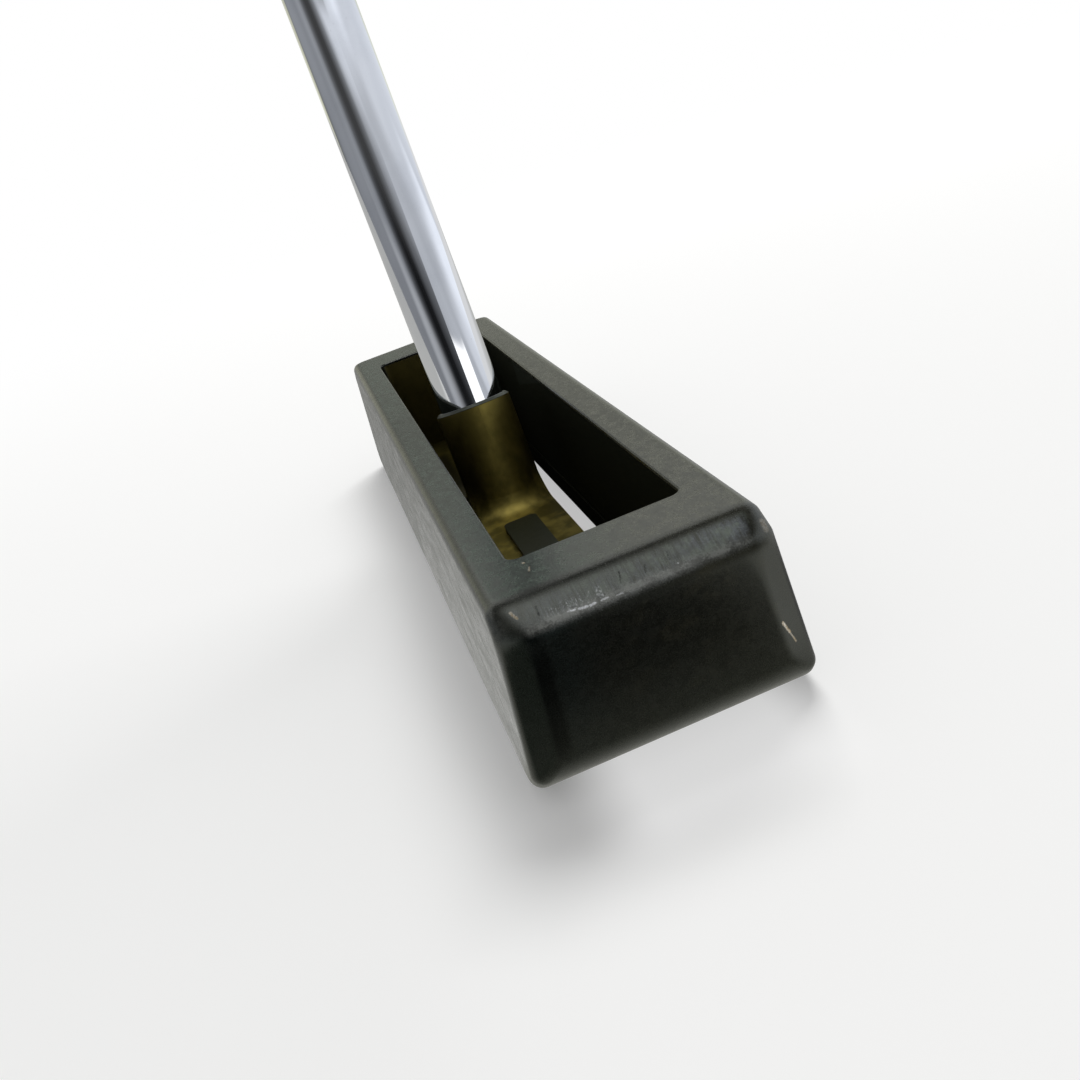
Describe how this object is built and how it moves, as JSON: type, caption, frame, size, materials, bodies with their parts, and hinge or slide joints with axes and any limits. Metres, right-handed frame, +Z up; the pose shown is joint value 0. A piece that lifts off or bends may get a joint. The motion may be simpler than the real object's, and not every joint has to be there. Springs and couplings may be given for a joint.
{
  "type": "blade putter",
  "caption": "Blade putter: dark patinated box-shaped head open at the top, chromed tapered shaft on a post inside it, and a black rubber grip.",
  "frame": {"origin": "middle of the flat sole, on the ground under the head's middle", "axes": "+X along the head towards the toe, +Y square to the striking face towards the target for a right-handed player, +Z up; the shaft leans towards -X"},
  "size_m": [0.2841, 0.029, 0.8672],
  "materials": {
    "head": "dark patinated bronze with a fine cast grain, bare metal showing inside the cavity",
    "shaft": "mirror chrome plate on steel",
    "shaft_glue": "cured epoxy",
    "grip_tape": "double-sided masking tape",
    "grip": "matt moulded rubber"
  },
  "bodies": {
    "root": {"head": "head", "shaft": "shaft", "shaft_glue": "shaft_glue", "grip_tape": "grip_tape", "grip": "grip"}
  },
  "joints": []
}
